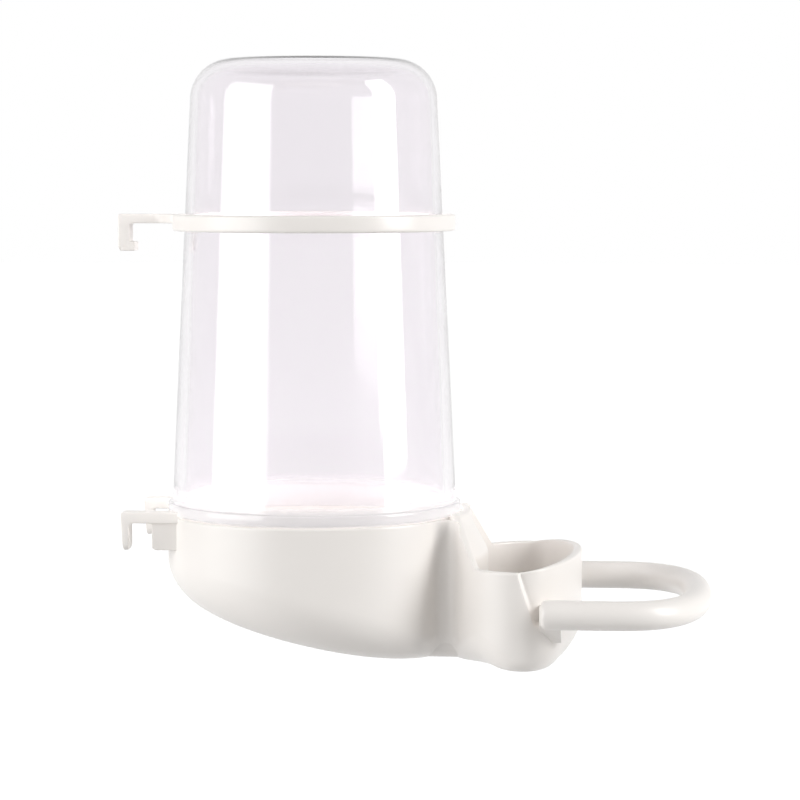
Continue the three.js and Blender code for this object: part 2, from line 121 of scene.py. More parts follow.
# Partition, neck and passage between bowl and cup
COLLAR_LIP = 0.8 * MM
COLLAR_DEPTH = 5 * MM
LIP_ROUND = 0.9 * MM
APRON_SETBACK = 2.3 * MM
APRON_SLOPE = 3.5 * MM
APRON_BEND = 1.5 * MM
APRON_KNEE = 8 * MM
PASSAGE_TOP = 16 * MM
NECK_HALF_WIDTH = 14 * MM
NECK_WALL = 2.6 * MM
NECK_STEP = 0.5 * MM
NECK_FILLET = 4 * MM
NECK_LOW_START = 20 * MM
NECK_INTO_BOWL = 5 * MM
NECK_INTO_CUP = 4 * MM
PASSAGE_BACK = 10 * MM
VALLEY_RADIUS = 3.2 * MM
VALLEY_FOOT = 1.2 * MM
VALLEY_THICKNESS = 1.5 * MM
VALLEY_BOWL_ANGLES = np.radians((12, 60))
VALLEY_CUP_ANGLES = np.radians((100, 175))
VALLEY_HALVINGS = 40
PARTITION_CUP_ANGLES = np.radians((95, 180))

# Perch and its brackets
PERCH_RADIUS = (PERCH_HIGH.z - PERCH_LOW.z) / 2
PERCH_LEVEL = (PERCH_HIGH.z + PERCH_LOW.z) / 2 - SEAT
PERCH_HALF_SPAN = PERCH_HIGH.y - PERCH_RADIUS
PERCH_END = PERCH_LOW.x - AXIS_X
PERCH_FRONT = PERCH_HIGH.x - AXIS_X - PERCH_RADIUS
PERCH_ARM = 14 * MM
PERCH_FULLNESS = 2.5
PERCH_END_ROUND = 1.2 * MM
GROOVE_PAST_ARM = 5 * MM
KEY_LENGTH = 2.8 * MM
KEY_HEIGHT = 2 * MM
KEY_DEPTH = 2 * MM
BRACKET_LENGTH = 4.4 * MM
BRACKET_SETBACK = 0.5 * MM
BRACKET_TOP = 1.2 * MM
BRACKET_FACE = 2.6 * MM
BRACKET_BOTTOM = 6.8 * MM
BRACKET_ROUND = 0.15 * MM
FLANK_RECESS = 1.1 * MM
RECESS_LEAN = 3.4 * MM
RECESS_DEPTH = 10.5 * MM
RECESS_EDGE = (-0.15 * MM, 0.35 * MM)
RECESS_FLOOR = (-0.3 * MM, 0.6 * MM)

# Lower hooks
HOOK_END = BASE_LOW.x - AXIS_X
HOOK_SPACING = 27.1 * MM
HOOK_WIDTH = 4.5 * MM
HOOK_RISE = 1.2 * MM
HOOK_ARM_HEIGHT = 2.4 * MM
HOOK_POST = 1.8 * MM
HOOK_POST_TIP = 1.4 * MM
HOOK_DROP = 8 * MM
WIRE_SLOT = 4.7 * MM
HOOK_ROUND = 0.9 * MM
HOOK_CORNER = 0.5 * MM
ROOT_SETBACK = 0.6 * MM

# Retaining ring
RING_TOP = RING_HIGH.z - FLANGE_LEVEL
RING_HEIGHT = 3.5 * MM
RING_LEVEL = RING_TOP - RING_HEIGHT
RING_OUTSIDE = RING_HIGH.y
RING_ROUND = 0.7 * MM
STRAP_HEIGHT = 2 * MM
STRAP_HALF_WIDTH = 2.2 * MM
STRAP_ROOT_HALF_WIDTH = 6 * MM
STRAP_END = RING_LOW.x - AXIS_X
STRAP_ROOT = 1 * MM - RING_OUTSIDE
STRAP_FLARE_END = -RING_OUTSIDE - 5 * MM
STRAP_FLARE_CURVE = 1.6
UPPER_POST = 2.6 * MM
UPPER_DROP = 5.8 * MM
UPPER_FOOT = 1.1 * MM
UPPER_FOOT_HEIGHT = 2 * MM
UPPER_FOOT_SETBACK = 0.6 * MM

# Reservoir
RESERVOIR_TOP = RESERVOIR_HIGH.z - FLANGE_LEVEL
RESERVOIR_FOOT_RADIUS = BOWL_RADIUS - 0.9 * MM
RESERVOIR_SHOULDER_RADIUS = 25.9 * MM
CROWN_CORNER = 8.5 * MM
SHOULDER_LEVEL = RESERVOIR_TOP - CROWN_CORNER
FLANGE_THICKNESS = 2.2 * MM
FLANGE_ROUND = 0.35 * MM
PLUG_WALL = 1.4 * MM
MILKY_UP_TO = FLANGE_LEVEL + FLANGE_THICKNESS - 0.6 * MM
CLEAR_FROM = FLANGE_LEVEL + FLANGE_THICKNESS + 2.5 * MM

# Rings of points that a wall's skin is made of
FLOOR_RINGS = 16
FILLET_RINGS = 13
WALL_RINGS = 48
RIM_RINGS = 15
INNER_RINGS = 12
FIRST_FLOOR_RING = 0.06
CROWN_RINGS = (0.35, 0.7)

# How edges are rounded: rims, corners by the share of a side they take, bar tips, and limiting angles
RIM_SQUARENESS = 0.6
CORNER_SHARE = 0.45
TIP_SHARE = 0.75
SHARP_ANGLE = np.radians(40)
ROUNDED_ANGLE = np.radians(35)

# Camera, from a fit of the photograph's viewing angle about the middle of the flange's edge, and stage
CAMERA_AZIMUTH = np.radians(-5.481)
CAMERA_TILT = np.radians(4.439)
CAMERA_DISTANCE = 613.0 * MM
CAMERA_RIGHT = 18.087 * MM
CAMERA_UP = 22.18 * MM
CAMERA_LENS_MM = 130.13
CAMERA_SENSOR_MM = 36.0
CAMERA_NEAR = 10 * MM
CAMERA_FAR = 50.0
FLOOR_DROP = 40 * MM
FLOOR_HALF_WIDTH = 4.0
FLOOR_GLOW_NEAR = 0.8
FLOOR_GLOW_FAR = 0.86
WORLD_FILL = 0.16


# Properties


class DrinkerSizes(bpy.types.PropertyGroup):
    """Sizes that change how the mouldings look"""

    reservoir_wall: bpy.props.FloatProperty(
        name="Reservoir wall", description="Thickness of the clear wall", default=1.5 * MM, unit="LENGTH"
    )
    rim_round: bpy.props.FloatProperty(
        name="Rim rounding", description="Rounding of the base's rim", default=0.55 * MM, unit="LENGTH"
    )
    edge_round: bpy.props.FloatProperty(
        name="Edge rounding", description="Rounding of hook and strap edges", default=0.35 * MM, unit="LENGTH"
    )


class DrinkerFinish(bpy.types.PropertyGroup):
    """Colours and gloss of the mouldings"""

    white: bpy.props.FloatVectorProperty(
        name="White plastic", description="Colour of base, ring and perch", subtype="COLOR", size=4,
        default=(0.92, 0.885, 0.852, 1.0), min=0.0, max=1.0,
    )
    white_roughness: bpy.props.FloatProperty(
        name="White roughness", description="Roughness of the white plastic", default=0.32, min=0.0, max=1.0,
        subtype="FACTOR",
    )
    clear: bpy.props.FloatVectorProperty(
        name="Clear plastic", description="Tint of the reservoir", subtype="COLOR", size=4,
        default=(0.92, 0.9, 0.92, 1.0), min=0.0, max=1.0,
    )
    milky: bpy.props.FloatVectorProperty(
        name="Milky plastic", description="Colour of the flange and plug", subtype="COLOR", size=4,
        default=(0.8, 0.782, 0.788, 1.0), min=0.0, max=1.0,
    )


# Surfaces


def smooth_step(value, low, high):
    """0 below low, 1 above high, and the cubic 3t^2 - 2t^3 between them."""
    share = np.clip((value - low) / (high - low), 0.0, 1.0)
    return share * share * (3 - 2 * share)


def grid_faces(rows, columns, wrap_rows):
    """Four-cornered faces of a grid whose columns close on themselves, and whose rows may too."""
    row = np.arange(rows if wrap_rows else rows - 1)[:, None]
    column = np.arange(columns)[None, :]
    next_row = (row + 1) % rows
    next_column = (column + 1) % columns
    corners = [row * columns + column, row * columns + next_column,
               next_row * columns + next_column, next_row * columns + column]
    return np.stack(np.broadcast_arrays(*corners), axis=-1).reshape(-1, 4)


def pole_faces(pole, start, columns):
    """Three-cornered faces from a pole to the ring of points that begins at start."""
    column = np.arange(columns)
    return np.stack([np.full(columns, pole), start + (column + 1) % columns, start + column], axis=-1)


def poled_grid(grid, first_pole, last_pole):
    """Points and faces of a closed skin: a grid of rings with a pole at each end."""
    rows, columns, _ = grid.shape
    points = np.vstack([grid.reshape(-1, 3), first_pole, last_pole])
    last = (rows - 1) * columns
    faces = [
        grid_faces(rows, columns, False).tolist(),
        pole_faces(rows * columns, 0, columns).tolist(),
        pole_faces(rows * columns + 1, last, columns)[:, ::-1].tolist(),
    ]
    return points, sum(faces, [])


def looped_grid(grid):
    """Points and faces of a grid that closes on itself both ways, as a ring does."""
    rows, columns, _ = grid.shape
    return grid.reshape(-1, 3), grid_faces(rows, columns, True).tolist()


def slab(front, back):
    """Points and faces of a closed skin between two open grids: both grids and a strip round their edges."""
    rows, columns, _ = front.shape
    index = np.arange(rows * columns).reshape(rows, columns)
    cells = np.stack([index[:-1, :-1], index[:-1, 1:], index[1:, 1:], index[1:, :-1]], axis=-1).reshape(-1, 4)
    edge = np.concatenate([index[0, :-1], index[:-1, -1], index[-1, :0:-1], index[:0:-1, 0]])
    after = np.roll(edge, -1)
    strip = np.stack([after, edge, edge + index.size, after + index.size], axis=-1)
    faces = np.vstack([cells, cells[:, ::-1] + index.size, strip])
    return np.vstack([front.reshape(-1, 3), back.reshape(-1, 3)]), faces.tolist()


def prism(outline, low, high, axis):
    """A flat outline carried straight along an axis from low to high, with a face at each end.

    Axis 1 takes the outline as x and z, axis 2 as x and y, and axis 0 as y and z.
    """
    count = len(outline)
    others = [k for k in range(3) if k != axis]
    points = np.zeros((2 * count, 3))
    points[:, others] = np.vstack([outline, outline])
    points[:count, axis] = low
    points[count:, axis] = high
    step = np.arange(count)
    after = (step + 1) % count
    sides = np.stack([step, after, after + count, step + count], axis=-1).tolist()
    return points, sides + [step[::-1].tolist(), (step + count).tolist()]


def joined(*parts):
    """Several sets of points and faces as one."""
    points, faces, offset = [], [], 0
    for part_points, part_faces in parts:
        points.append(part_points)
        faces += [[corner + offset for corner in face] for face in part_faces]
        offset += len(part_points)
    return np.vstack(points), faces


def mirrored(part):
    """A part and its mirror image across y = 0, whose faces are turned to point out again."""
    points, faces = part
    return joined(part, (points * (1, -1, 1), [face[::-1] for face in faces]))


def arc(centre, radius, start, end, steps=7):
    """Points on a circle from one angle to another, in degrees."""
    turn = np.radians(np.linspace(start, end, steps))
    return np.stack([centre[0] + radius * np.cos(turn), centre[1] + radius * np.sin(turn)], axis=-1)


def rounded(corners, radius, steps=6):
    """A closed outline with each corner replaced by a parabola that touches both its sides."""
    corners = np.asarray(corners, float)
    before = np.roll(corners, 1, axis=0) - corners
    after = np.roll(corners, -1, axis=0) - corners
    before_length = np.linalg.norm(before, axis=1, keepdims=True)
    after_length = np.linalg.norm(after, axis=1, keepdims=True)
    reach = np.minimum(radius, CORNER_SHARE * np.minimum(before_length, after_length))
    share = np.linspace(0, 1, steps)[None, :, None]
    start = (corners + before / before_length * reach)[:, None]
    end = (corners + after / after_length * reach)[:, None]
    bend = (1 - share) ** 2 * start + 2 * share * (1 - share) * corners[:, None] + share**2 * end
    return bend.reshape(-1, 2)


def turned(profile, steps):
    """A profile of radius and height carried round the reservoir's axis, as a grid of rings."""
    turn = np.linspace(0, 2 * np.pi, steps, endpoint=False)
    radius = profile[:, 0][:, None]
    height = np.broadcast_to(profile[:, 1][:, None], (len(profile), steps))
    return np.stack([radius * np.cos(turn), radius * np.sin(turn), height], axis=-1)


def face_out(mesh):
    """Turns every closed skin of a mesh to face out."""
    skin_mesh = bmesh.new()
    skin_mesh.from_mesh(mesh)
    bmesh.ops.recalc_face_normals(skin_mesh, faces=skin_mesh.faces)
    skin_mesh.to_mesh(mesh)
    skin_mesh.free()
    mesh.update()


def make_mesh(name, part, level):
    """Puts points and faces, measured from the axis and a level, into a mesh that faces out."""
    points, faces = part
    mesh = bpy.data.meshes.new(name)
    mesh.from_pydata((points + (AXIS_X, 0.0, level)).tolist(), [], faces)
    face_out(mesh)
    return mesh


def cut_away(mesh, space):
    """The mesh that is left when a space is taken out of another."""
    collection = bpy.context.scene.collection
    objects = [bpy.data.objects.new(part.name, part) for part in (mesh, space)]
    for thing in objects:
        collection.objects.link(thing)
    cut = objects[0].modifiers.new("Cut", "BOOLEAN")
    cut.operation = "DIFFERENCE"
    cut.solver = "EXACT"
    cut.object = objects[1]
    graph = bpy.context.evaluated_depsgraph_get()
    left = bpy.data.meshes.new_from_object(objects[0].evaluated_get(graph))
    for thing in objects:
        bpy.data.objects.remove(thing)
    bpy.data.meshes.remove(mesh)
    bpy.data.meshes.remove(space)
    return left


def make_piece(name, part, level, body, node, slot, material, space=None):
    """Makes a mesh, takes a space out of it, shades it smooth and sets it on its CAD body."""
    mesh = make_mesh(name, part, level)
    if space is not None:
        mesh = cut_away(mesh, make_mesh("space", space, level))
    mesh.shade_smooth()
    mesh.set_sharp_from_angle(angle=SHARP_ANGLE)
    mesh.materials.append(material)
    piece = bpy.data.objects.new(name, mesh)
    bpy.context.scene.collection.objects.link(piece)
    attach(piece, body)
    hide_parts(node)
    return piece


def round_edges(piece, width):
    """Rounds a piece's sharp edges."""
    bevel = piece.modifiers.new("Rounded edges", "BEVEL")
    bevel.width = width
    bevel.segments = 3
    bevel.limit_method = "ANGLE"
    bevel.angle_limit = ROUNDED_ANGLE
    bevel.harden_normals = True


# Base shape


def oval_reach(angle, inset=0.0, flank_inset=0.0):
    """Distance from the cup's widest place to its oval: 1 over the length of (cos / length, sin / width).

    The length is the nose's in front and the tail's behind, and the width is half the cup's.
    """
    length = np.where(np.cos(angle) > 0, CUP_NOSE, CUP_TAIL) - inset
    return 1 / np.hypot(np.cos(angle) / length, np.sin(angle) / (CUP_HALF_WIDTH - inset - flank_inset))


def keel_level(x):
    """Height of the bottom: level under the cup, then rising as a power of the way back to the wires."""
    share = np.maximum(KEEL_LEVEL_X - x, 0) / (KEEL_LEVEL_X + BOWL_RADIUS)
    return -BASE_DEPTH + KEEL_RISE * share**KEEL_CURVE


def turn_from_front(angle):
    """Angle from the front, whichever way round."""
    return np.abs(np.arctan2(np.sin(angle), np.cos(angle)))


def winged_rim(angle):
    """Height of the cup's rim: a lip that rises along the nose, and wings that climb by t (3 - t) / 2."""
    climb = (turn_from_front(angle) - WING_FOOT_ANGLE) / (WING_TOP_ANGLE - WING_FOOT_ANGLE)
    share = np.clip(climb, 0, 1)
    along = np.maximum(oval_reach(angle) * np.cos(angle), 0) / CUP_NOSE
    lip = CUP_LIP_RISE * along - CUP_LIP_DROP
    return lip + (COLLAR_LIP - lip) * share * (3 - share) / 2


def bowl_fillet(angle):
    """Rounding of the bowl's bottom edge, widest at its sides by the sine squared."""
    ends = np.where(np.cos(angle) > 0, FRONT_FILLET, BACK_FILLET)
    return ends + (SIDE_FILLET - ends) * np.sin(angle) ** 2


def cup_fillet(angle):
    """Rounding of the cup's bottom edge, wide under the nose and where the flanks turn in to the neck."""
    turn = turn_from_front(angle)
    nose = 1 - smooth_step(turn, NOSE_FADE_START, NOSE_FADE_END)
    past = turn - FOOT_ANGLE
    foot = 1 - smooth_step(np.where(past > 0, past / FOOT_TRAIL, -past / FOOT_LEAD), 0, 1)
    return CUP_FILLET + (NOSE_FILLET - CUP_FILLET) * nose + (FOOT_FILLET - CUP_FILLET) * foot


def flank_share(x, z):
    """How far a point of the cup's flank lies in the recess behind the leaning edge, from 0 to 1."""
    foot = PERCH_END - PERCH_RADIUS / 2
    down = np.clip((-CUP_LIP_DROP - z) / RECESS_DEPTH, 0, 1)
    past_edge = x - foot + RECESS_LEAN * (1 - down)
    above_floor = z + CUP_LIP_DROP + RECESS_DEPTH
    return smooth_step(past_edge, *RECESS_EDGE) * smooth_step(above_floor, *RECESS_FLOOR)


def shell(pole_x, outside, inside, fillet, rim, rim_round, drawn_in=None):
    """A wall and floor as one skin: up the outside, over the rim and down the inside.

    Each ring is the outline at a height. Below, the outline is drawn in by a quarter circle to the keel.
    Where a drawn-in outline is given, the outside goes over to it inside the flank's recess.
    """
    columns = len(outside)
    angle = np.linspace(0, 2 * np.pi, columns, endpoint=False)

    def ring(reach, level_of_x):
        x = pole_x + reach * np.cos(angle)
        return np.stack([x, reach * np.sin(angle), level_of_x(x)], axis=-1)

    def bottom(reach, radius, floor):
        flat = [ring((reach - radius) * share, lambda x: keel_level(x) + floor)
                for share in np.linspace(FIRST_FLOOR_RING, 1, FLOOR_RINGS)]
        bend = [ring(reach - radius * (1 - np.sin(turn)),
                     lambda x, turn=turn: keel_level(x) + floor + radius * (1 - np.cos(turn)))
                for turn in np.linspace(0, np.pi / 2, FILLET_RINGS)[1:]]
        return flat + bend

    rings = bottom(outside, fillet, 0.0)
    start = rings[-1][:, 2]
    edge = outside
    for share in np.linspace(0, 1, WALL_RINGS)[1:]:
        level = start + (rim - rim_round - start) * share
        if drawn_in is not None:
            x = pole_x + outside * np.cos(angle)
            edge = outside + (drawn_in - outside) * flank_share(x, level)
        rings.append(ring(edge, lambda x, level=level: level))
    for turn in np.linspace(0, np.pi, RIM_RINGS)[1:]:
        across = (1 - np.cos(turn)) / 2
        level = rim - rim_round * (1 - np.sin(turn) ** RIM_SQUARENESS)
        rings.append(ring(edge + (inside - edge) * across, lambda x, level=level: level))
    inner = bottom(inside, fillet - BASE_WALL / 2, BASE_FLOOR)[::-1]
    end = inner[0][:, 2]
    for share in np.linspace(0, 1, INNER_RINGS)[1:-1]:
        level = rim - rim_round + (end - rim + rim_round) * share
        rings.append(ring(inside, lambda x, level=level: level))
    rings += inner
    poles = [np.array([pole_x, 0, keel_level(pole_x) + floor]) for floor in (0.0, BASE_FLOOR)]
    return poled_grid(np.stack(rings), *poles)


def bowl_shell(rim_round, columns=360):
    """The round bowl, with its rim as the seat."""
    angle = np.linspace(0, 2 * np.pi, columns, endpoint=False)
    outside = np.full(columns, BOWL_RADIUS)
    return shell(0.0, outside, outside - BASE_WALL, bowl_fillet(angle), np.zeros(columns), rim_round)


def cup_shell(rim_round, columns=640):
    """The oval cup with its lip and wings. Its back is drawn on to the middle of the bowl's wall."""
    angle = np.linspace(0, 2 * np.pi, columns, endpoint=False)
    points, faces = shell(CUP_CENTRE, oval_reach(angle), oval_reach(angle, BASE_WALL), cup_fillet(angle),
                          winged_rim(angle), rim_round, oval_reach(angle, 0.0, FLANK_RECESS))
    radius = np.hypot(points[:, 0], points[:, 1])
    middle = BOWL_RADIUS - BASE_WALL / 2
    points[:, :2] *= np.maximum(middle / radius, 1)[:, None]
    under_flange = radius < BOWL_RADIUS + CLEARANCE + HAIR
    points[under_flange, 2] = np.minimum(points[under_flange, 2], -SINK)
    return points, faces


def neck(upright_steps=24, arc_steps=13):
    """The trough that joins bowl and cup round the passage, with a rounded U-shaped section.

    At each point of the section it runs from the middle of the bowl's wall to the middle of the cup's wall,
    and further below, where both walls are drawn in.
    """
    floor = -BASE_DEPTH + NECK_STEP
    centre = (NECK_HALF_WIDTH - NECK_FILLET, floor + NECK_FILLET)
    upright = np.linspace(-SINK, centre[1], upright_steps)[:-1]
    outer = np.vstack([
        np.stack([np.full_like(upright, NECK_HALF_WIDTH), upright], axis=-1),
        arc(centre, NECK_FILLET, 0, -90, arc_steps),
    ])
    outer = np.vstack([outer, (outer * (-1, 1))[::-1]])
    inner = outer * ((NECK_HALF_WIDTH - BASE_WALL) / NECK_HALF_WIDTH, 1)
    inner[:, 1] = np.maximum(inner[:, 1], floor + BASE_FLOOR)

    def carried(section):
        low = smooth_step(-section[:, 1], NECK_LOW_START, BASE_DEPTH)
        across = section[:, 0] ** 2
        bowl = np.sqrt((BOWL_RADIUS - BASE_WALL / 2) ** 2 - across) - NECK_INTO_BOWL * low
        length, half_width = CUP_TAIL - BASE_WALL / 2, CUP_HALF_WIDTH - BASE_WALL / 2
        cup = CUP_CENTRE - length * np.sqrt(1 - across / half_width**2) + NECK_INTO_CUP * low
        ends = (np.minimum(bowl, cup - HAIR), cup)
        return np.stack([np.column_stack([x, section]) for x in ends], axis=1)

    return slab(carried(outer), carried(inner))


def fillet_inset(height, fillet):
    """How far a quarter-circle fillet draws an outline in at a height above its bottom."""
    down = 1 - np.clip(height / fillet, 0, 1)
    return fillet * (1 - np.sqrt(1 - down**2))


def valley(radius, levels=48, sides=17, cup_steps=600):
    """A concave strip on each side of the neck, whose section at each height is an arc touching bowl and cup.

    The arc's centre lies the bowl's radius plus its own from the axis. Its angle is found by halving, until
    the cup's nearest point is one arc radius away.
    """
    level = np.linspace(-BASE_DEPTH + VALLEY_FOOT, -HAIR, levels)[:, None]
    angle = np.linspace(*VALLEY_CUP_ANGLES, cup_steps)[None, :]
    reach = oval_reach(angle) - fillet_inset(level + BASE_DEPTH, cup_fillet(angle))
    cup = np.stack([CUP_CENTRE + reach * np.cos(angle), reach * np.sin(angle)], axis=-1)
    near, far = (np.full(levels, limit) for limit in VALLEY_BOWL_ANGLES)
    for _ in range(VALLEY_HALVINGS):
        turn = (near + far) / 2
        bowl = BOWL_RADIUS - fillet_inset(level[:, 0] + BASE_DEPTH, bowl_fillet(turn))
        way = np.stack([np.cos(turn), np.sin(turn)], axis=-1)
        centre = (bowl + radius)[:, None] * way
        distance = np.linalg.norm(cup - centre[:, None], axis=-1)
        clear = distance.min(axis=1) > radius
        near, far = np.where(clear, near, turn), np.where(clear, turn, far)
    touch = cup[np.arange(levels), distance.argmin(axis=1)] - centre
    start, end = turn + np.pi, np.arctan2(touch[:, 1], touch[:, 0]) + 2 * np.pi
    bend = start[:, None] + (end - start)[:, None] * np.linspace(0, 1, sides)
    front = np.stack([
        centre[:, :1] + radius * np.cos(bend),
        centre[:, 1:] + radius * np.sin(bend),
        np.broadcast_to(level, bend.shape),
    ], axis=-1)
    return mirrored(slab(front, front - (0, VALLEY_THICKNESS, 0)))


def passage():
    """The space between bowl and cup, from under the collar down to just below the neck's floor."""
    half = NECK_HALF_WIDTH - NECK_WALL
    return block(
        (BOWL_RADIUS - PASSAGE_BACK, -half, -BASE_DEPTH + NECK_STEP + BASE_FLOOR - HAIR),
        (CUP_CENTRE, half, -COLLAR_DEPTH),
    )


def swept(section, limit, columns=96):
    """A section of radius and height carried round the axis between plus and minus a limit angle."""
    sweep = limit[:, None] * np.linspace(-1, 1, columns)[None, :]
    rings = np.stack([
        section[:, 0][:, None] * np.cos(sweep),
        section[:, 0][:, None] * np.sin(sweep),
        np.broadcast_to(section[:, 1][:, None], sweep.shape),
    ], axis=-1).transpose(1, 0, 2)
    return poled_grid(rings, rings[0].mean(axis=0), rings[-1].mean(axis=0))


def partition(corner_steps=8, cup_steps=400):
    """The lip and apron between bowl and cup, whose ends are buried in the middle of the wings' wall.

    Each point of the section turns as far as the cup's oval reaches at its own radius from the axis.
    """
    lip_inner = BOWL_RADIUS + CLEARANCE
    top = BOWL_RADIUS + APRON_SETBACK
    foot = top + APRON_SLOPE
    section = rounded([
        [BOWL_RADIUS - BASE_WALL / 2, -SINK], [lip_inner, -SINK], [lip_inner, COLLAR_LIP],
        [top, COLLAR_LIP], [top, -APRON_BEND], [foot, -APRON_KNEE], [foot, -PASSAGE_TOP],
        [foot - BASE_WALL, -PASSAGE_TOP], [foot - BASE_WALL, -APRON_KNEE], [lip_inner, -BASE_WALL],
        [BOWL_RADIUS - BASE_WALL / 2, -BASE_WALL],
    ], LIP_ROUND, corner_steps)
    angle = np.linspace(*PARTITION_CUP_ANGLES, cup_steps)
    reach = oval_reach(angle, BASE_WALL / 2)
    x, y = CUP_CENTRE + reach * np.cos(angle), reach * np.sin(angle)
    radius, turn = np.hypot(x, y), np.arctan2(y, x)
    limit = np.interp(section[:, 0], radius[::-1], turn[::-1])
    return swept(section, limit)


def resampled(corners, steps):
    """Points at equal distances along an open line."""
    corners = np.asarray(corners, float)
    length = np.concatenate([[0], np.cumsum(np.linalg.norm(np.diff(corners, axis=0), axis=1))])
    place = np.linspace(0, length[-1], steps)
    return np.stack([np.interp(place, length, corners[:, k]) for k in range(2)], axis=-1)


def bent_bar(outer, inner, half_width, squareness=0.22, sides=40, end_steps=6):
    """A bar between two lines in the xz plane, with a rounded square section carried from pair to pair.

    A section point goes from the outer to the inner line by cos and across by sin, each raised to a low power
    so that the section is nearly square. The last rings shrink to round the tip.
    """
    ring = np.linspace(0, 2 * np.pi, sides, endpoint=False)
    side = np.sign(np.cos(ring)) * np.abs(np.cos(ring)) ** squareness
    across = np.sign(np.sin(ring)) * np.abs(np.sin(ring)) ** squareness
    middle, half = (outer + inner) / 2, (outer - inner) / 2
    shrink = np.ones(len(outer))
    shrink[-end_steps:] = np.sqrt(1 - np.linspace(0, TIP_SHARE, end_steps) ** 2)
    section = middle[:, None] + half[:, None] * (side * shrink[:, None])[..., None]
    width = (half_width * shrink)[:, None] * across
    grid = np.stack([section[..., 0], width, section[..., 1]], axis=-1)
    return poled_grid(grid, grid[0].mean(axis=0), grid[-1].mean(axis=0))


def shifted(part, offset):
    """A part moved by an offset."""
    return part[0] + np.asarray(offset), part[1]


def hooks(steps=60):
    """Two lower hooks, each a bar that leaves the bowl level and turns down, and a narrower root block."""
    slot_start = HOOK_END + HOOK_POST
    slot_end = slot_start + WIRE_SLOT
    centre = HOOK_SPACING / 2
    root = -np.sqrt((BOWL_RADIUS - BASE_WALL / 2) ** 2 - centre**2)
    corner = (slot_start + HOOK_ROUND, -HOOK_ARM_HEIGHT - HOOK_ROUND)
    outer = np.vstack([
        [[root, 0]],
        arc((HOOK_END + HOOK_CORNER, -HOOK_CORNER), HOOK_CORNER, 90, 180),
        [[slot_start - HOOK_POST_TIP, -HOOK_DROP]],
    ])
    inner = np.vstack([
        [[root, -HOOK_ARM_HEIGHT]],
        arc(corner, HOOK_ROUND, 90, 180),
        [[slot_start, -HOOK_DROP]],
    ])
    arm = bent_bar(resampled(outer, steps), resampled(inner, steps), np.full(steps, HOOK_WIDTH / 2))
    foot = (slot_end + HOOK_ROUND, -HOOK_DROP + HOOK_ROUND)
    side = np.vstack([
        [[root, -HOOK_ARM_HEIGHT / 2], [slot_end, -HOOK_ARM_HEIGHT / 2]],
        arc(foot, HOOK_ROUND, 180, 270),
        [[root, -HOOK_DROP]],
    ])
    half = HOOK_WIDTH / 2 - ROOT_SETBACK
    points, faces = shifted(joined(arm, prism(side, -half, half, 1)), (0, centre, 0))
    wall = -np.sqrt((BOWL_RADIUS - BASE_WALL / 2) ** 2 - points[:, 1] ** 2)
    points[:, 0] += (wall - root) * smooth_step(points[:, 0], -BOWL_RADIUS, root)
    return mirrored(shifted((points, faces), (0, 0, HOOK_RISE)))


def block(low, high):
    """A box between two corners."""
    outline = np.array([[low[0], low[1]], [high[0], low[1]], [high[0], high[1]], [low[0], high[1]]])
    return prism(outline, low[2], high[2], 2)


def bracket_face():
    """Distance from the middle to the brackets' flat faces."""
    return PERCH_HALF_SPAN - PERCH_RADIUS - CLEARANCE


def brackets():
    """A gusset on each flank of the cup that ends in a flat face and leans in below the perch's arm."""
    start, face = PERCH_END - BRACKET_SETBACK, bracket_face()
    end = start + BRACKET_LENGTH
    inside = CUP_HALF_WIDTH * np.sqrt(1 - ((end - CUP_CENTRE) / CUP_NOSE) ** 2) - BASE_WALL
    gusset = np.array([
        [inside, PERCH_LEVEL + BRACKET_TOP], [inside, PERCH_LEVEL - BRACKET_BOTTOM],
        [face - BRACKET_BOTTOM + BRACKET_FACE, PERCH_LEVEL - BRACKET_BOTTOM],
        [face, PERCH_LEVEL - BRACKET_FACE], [face, PERCH_LEVEL + BRACKET_TOP],
    ])
    return mirrored(prism(gusset, start, end, 0))


def keys():
    """The keys on the brackets that the perch's arms slide on."""
    start = PERCH_END + CLEARANCE
    face = bracket_face()
    return mirrored(block(
        (start, face - KEY_DEPTH, PERCH_LEVEL - KEY_HEIGHT / 2),
        (start + KEY_LENGTH, face + KEY_DEPTH, PERCH_LEVEL + KEY_HEIGHT / 2),
    ))


# Reservoir, ring and perch shapes


def reservoir_radius(level):
    """Outer radius of the reservoir's taper, a straight line from foot to shoulder."""
    taper = RESERVOIR_SHOULDER_RADIUS - RESERVOIR_FOOT_RADIUS
    return RESERVOIR_FOOT_RADIUS + taper * level / SHOULDER_LEVEL


